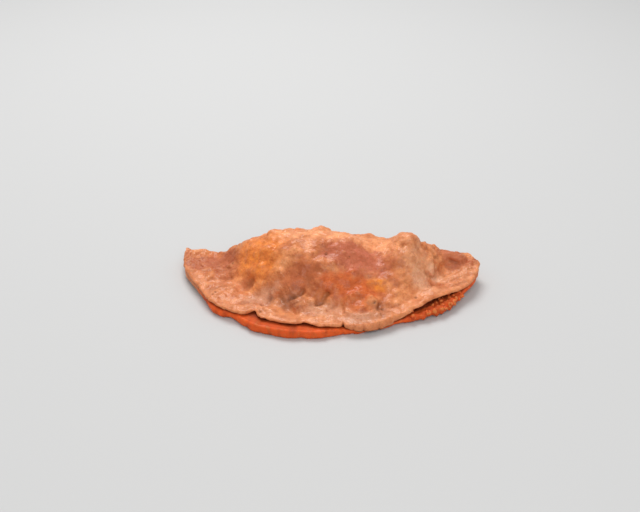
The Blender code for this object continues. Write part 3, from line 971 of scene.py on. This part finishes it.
def crust_finish():
    """Fried dough: golden, brown in patches, paler on the flange, red and oily in the lip, with
    shade painted into the slit, pits and hollows and highlights and sheen painted on.
    """
    finish = Finish("fried_crust")
    broad = finish.noise(11.0 * MM, 3.0, 1.0)
    mottle = finish.noise(3.6 * MM, 4.0, 2.0)
    fine = finish.noise(1.1 * MM, 3.0, 3.0)
    pore = finish.cells(1.2 * MM, 4.0)
    bubble, pit_shade = finish.mask("bubble"), finish.mask("pit_shade")
    lower, slit, under = finish.mask("lower"), finish.mask("slit"), finish.mask("under")

    colour = finish.blend(broad.between(0.42, 0.66) * 0.6, GOLDEN, BROWN_TONE)
    colour = finish.blend(broad.between(0.45, 0.30) * 0.5, colour, LIGHT_TONE)
    # Tones in layers: mostly brown tones, with painted shade, sheen and light among them.
    for name, (tone, _) in TONES.items():
        share = finish.mask(name) * (0.62 + mottle * 0.6)
        colour = finish.blend(share.held(), colour, rgb(*tone))
    colour = finish.blend(finish.mask("rim") * 0.6, colour, RIM_TONE)
    for grains, strength in ((mottle, 0.68), (fine, 0.28)):
        shade = finish.blend(grains.between(0.30, 0.70), DEEPER, PALER)
        colour = finish.blend(strength, colour, shade, "MULTIPLY")
    # Painted highlight: lighter tops on the bubbles.
    colour = finish.blend((bubble * fine.between(0.40, 0.62) * 0.25).held(), colour, LIGHT_TONE)
    freckle = fine.between(0.56, 0.68) * mottle.between(0.40, 0.58)
    colour = finish.blend(freckle * 0.42, colour, FRECKLE_TONE)
    specks = pore.between(0.20, 0.06) * broad.between(0.42, 0.58)
    colour = finish.blend(specks * 0.35, colour, FRECKLE_TONE)
    oily = finish.blend(mottle.between(0.44, 0.68) * 0.50, OILY_TONE, OILY_DARK)
    oily = finish.blend(fine.between(0.56, 0.70) * 0.5, oily, AMBER_BIT)
    gaping = finish.mask("gaping")
    # Painted shade: the lower layer darker where the layers gape.
    oily = finish.blend((gaping * 0.40).held(), oily, OILY_DARK)
    oily = finish.blend((gaping * mottle.between(0.50, 0.72) * 0.6).held(), oily, AMBER_BIT)
    oily = finish.blend(finish.mask("streak") * mottle.between(0.30, 0.55) * 0.6, oily, OILY_DARK)
    colour = finish.blend((lower * 0.96).held(), colour, oily)
    # Painted shade round the slit, and the slit's own faces painted near-black as shade.
    colour = finish.blend((finish.mask("slit_shade") * 0.9).held(), colour, SLIT_SHADE)
    colour = finish.blend((slit * 0.96).held(), colour, SLIT_SHADE)
    colour = finish.blend((under * 0.35).held(), colour, BROWN_TONE)
    # Painted shade in pits and creases, darkest in the deepest.
    colour = finish.blend((pit_shade * 0.75).held(), colour, PIT_SHADE)
    finish.put(finish.shader.inputs["Base Color"], colour)

    rough = 0.44 + 0.26 * mottle + 0.10 * fine - 0.12 * bubble + 0.06 * lower
    finish.put(finish.shader.inputs["Roughness"], rough.held())
    finish.shader.inputs["Specular IOR Level"].default_value = 0.16
    coat = 0.26 - 0.18 * lower - 0.15 * finish.mask("wing_shade")
    finish.put(finish.shader.inputs["Coat Weight"], coat)
    finish.shader.inputs["Coat Roughness"].default_value = 0.17
    finish.shader.inputs["Subsurface Weight"].default_value = 0.10
    finish.shader.inputs["Subsurface Radius"].default_value = (1.0, 0.35, 0.12)
    finish.shader.inputs["Subsurface Scale"].default_value = 1.2 * MM
    height = fine * 0.6 + mottle * 0.5 + pore.between(0.0, 0.5) * 0.45
    finish.bump(height, 0.45 * MM, 0.7)
    return finish.material


def floor_finish():
    finish = Finish("pale_paper")
    finish.shader.inputs["Base Color"].default_value = rgb(0.57, 0.57, 0.567)
    finish.shader.inputs["Roughness"].default_value = 0.8
    return finish.material


# ---------------------------------------------------------------------------------------------
# Pieces
# ---------------------------------------------------------------------------------------------


def add_piece(name, mesh, material):
    mesh.materials.append(material)
    piece = bpy.data.objects.new(name, mesh)
    bpy.context.scene.collection.objects.link(piece)
    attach(piece, "root")
    return piece


def place_in_box():
    """How far the shape's own coordinates lie from the frame's."""
    solid = crust_skin(**SOLID_GRID)["points"].reshape(-1, 3)
    low, high = (np.array(corner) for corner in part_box(NODE))
    shift = (low + high) / 2.0 - (solid.min(axis=0) + solid.max(axis=0)) / 2.0
    shift[2] = low[2] - solid[:, 2].min()
    return shift


def add_crust(shift):
    skin = crust_skin(**FINE_GRID)
    rise, bubble, pit_shade = fine_relief(skin)
    masks = browning_and_painted_light(skin, bubble, pit_shade)
    points = settle(skin, rise) + shift
    crust = add_piece("crust", mesh_of("crust", points, masks), crust_finish())
    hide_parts(NODE)
    return skin, points


# Crumbs stuck to the lower layer where the right side gapes: how many, between which degrees
# round the rim, the range of their radii, and how far their middles lie below the surface.
CRUMBS = 34
CRUMB_SEED = 4
CRUMB_STRETCH = (124.0, 150.0)
CRUMB_RADIUS = (0.5 * MM, 1.3 * MM)
CRUMB_SUNK = 0.3 * MM


def crumb_finish():
    """Fried bits, from amber to dark."""
    finish = Finish("crumbs")
    mottle = finish.noise(1.4 * MM, 3.0, 5.0)
    colour = finish.blend(mottle.between(0.36, 0.62), OILY_TONE, AMBER_BIT)
    colour = finish.blend(mottle.between(0.50, 0.30) * 0.7, colour, OILY_DARK)
    finish.put(finish.shader.inputs["Base Color"], colour)
    finish.put(finish.shader.inputs["Roughness"], (0.35 + 0.35 * mottle).held())
    finish.shader.inputs["Specular IOR Level"].default_value = 0.16
    finish.shader.inputs["Coat Weight"].default_value = 0.20
    finish.shader.inputs["Coat Roughness"].default_value = 0.19
    finish.bump(mottle, 0.3 * MM, 0.6)
    return finish.material


def add_crumbs(skin, points):
    """Small rough crumbs, partly sunk into the lower layer's face and the top of its lip."""
    seeded = np.random.default_rng(CRUMB_SEED)
    degrees = np.degrees(skin["turn"])
    rows = np.flatnonzero((degrees > CRUMB_STRETCH[0]) & (degrees < CRUMB_STRETCH[1]))
    lip = np.flatnonzero(skin["zone"] == "lower_edge")
    face = np.concatenate([np.flatnonzero(skin["zone"] == "lower_face"), lip[: len(lip) // 2]])
    gathered = bmesh.new()
    for _ in range(CRUMBS):
        centre = points[seeded.choice(rows), seeded.choice(face)] - (0.0, 0.0, CRUMB_SUNK)
        radii = seeded.uniform(*CRUMB_RADIUS) * seeded.uniform(0.6, 1.1, 3)
        shift = Vector(seeded.uniform(0.0, 50.0, 3))
        for vertex in bmesh.ops.create_icosphere(gathered, subdivisions=2, radius=1.0)["verts"]:
            rough = 1.0 + 0.8 * noise.noise(vertex.co * 1.5 + shift)
            vertex.co = Vector(centre + radii * np.array(vertex.co) * rough)
    mesh = bpy.data.meshes.new("crumbs")
    gathered.to_mesh(mesh)
    gathered.free()
    mesh.shade_smooth()
    add_piece("crumbs", mesh, crumb_finish())


# ---------------------------------------------------------------------------------------------
# Stage
# ---------------------------------------------------------------------------------------------

CAMERA_TILT = math.radians(30.0)
CAMERA_TURN = math.radians(4.0)
CAMERA_DISTANCE = 440.0 * MM
CAMERA_LENS = 50.6
AIM = Vector((-5.5 * MM, 37.8 * MM, 0.0))  # from the middle of the object's base
FLOOR_SIDE = 8.0
SKY_STRENGTH = 0.49
# Place from the middle of the object's base, size and power.
LIGHTS = {
    "window": ((-0.15, 0.50, 0.88), 0.62, 7.1),
    "fill": ((0.20, -0.75, 0.75), 0.8, 4.0),
}


def add_camera(base):
    away = Vector((math.sin(CAMERA_TURN), -math.cos(CAMERA_TURN), 0.0)) * math.cos(CAMERA_TILT)
    away.z = math.sin(CAMERA_TILT)
    data = bpy.data.cameras.new("camera")
    data.lens = CAMERA_LENS
    data.sensor_width = 36.0
    data.clip_start = 0.01
    camera = bpy.data.objects.new("camera", data)
    camera.location = base + AIM + away * CAMERA_DISTANCE
    camera.rotation_euler = (-away).to_track_quat("-Z", "Y").to_euler()
    bpy.context.scene.collection.objects.link(camera)
    bpy.context.scene.camera = camera


def add_light(name, base, place, size, power):
    data = bpy.data.lights.new(name, "AREA")
    data.shape = "DISK"
    data.size = size
    data.energy = power
    light = bpy.data.objects.new(name, data)
    light.location = base + Vector(place)
    light.rotation_euler = (-Vector(place)).to_track_quat("-Z", "Y").to_euler()
    bpy.context.scene.collection.objects.link(light)


def add_stage(base):
    mesh = bpy.data.meshes.new("floor")
    half = FLOOR_SIDE / 2.0
    corners = [(-half, -half, 0.0), (half, -half, 0.0), (half, half, 0.0), (-half, half, 0.0)]
    mesh.from_pydata(corners, [], [(0, 1, 2, 3)])
    mesh.materials.append(floor_finish())
    floor = bpy.data.objects.new("floor", mesh)
    floor.location = base
    bpy.context.scene.collection.objects.link(floor)

    world = bpy.data.worlds.new("studio")
    world.use_nodes = True
    background = world.node_tree.nodes["Background"]
    background.inputs["Color"].default_value = rgb(1.0, 1.0, 1.0)
    background.inputs["Strength"].default_value = SKY_STRENGTH
    bpy.context.scene.world = world
    bpy.context.scene.view_settings.view_transform = "Standard"
    for name, (place, size, power) in LIGHTS.items():
        add_light(name, base, place, size, power)


def main():
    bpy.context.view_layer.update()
    low, high = (np.array(corner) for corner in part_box(NODE))
    base = Vector(((low[0] + high[0]) / 2.0, (low[1] + high[1]) / 2.0, low[2]))
    add_camera(base)
    add_stage(base)
    skin, points = add_crust(place_in_box())
    add_crumbs(skin, points)


main()
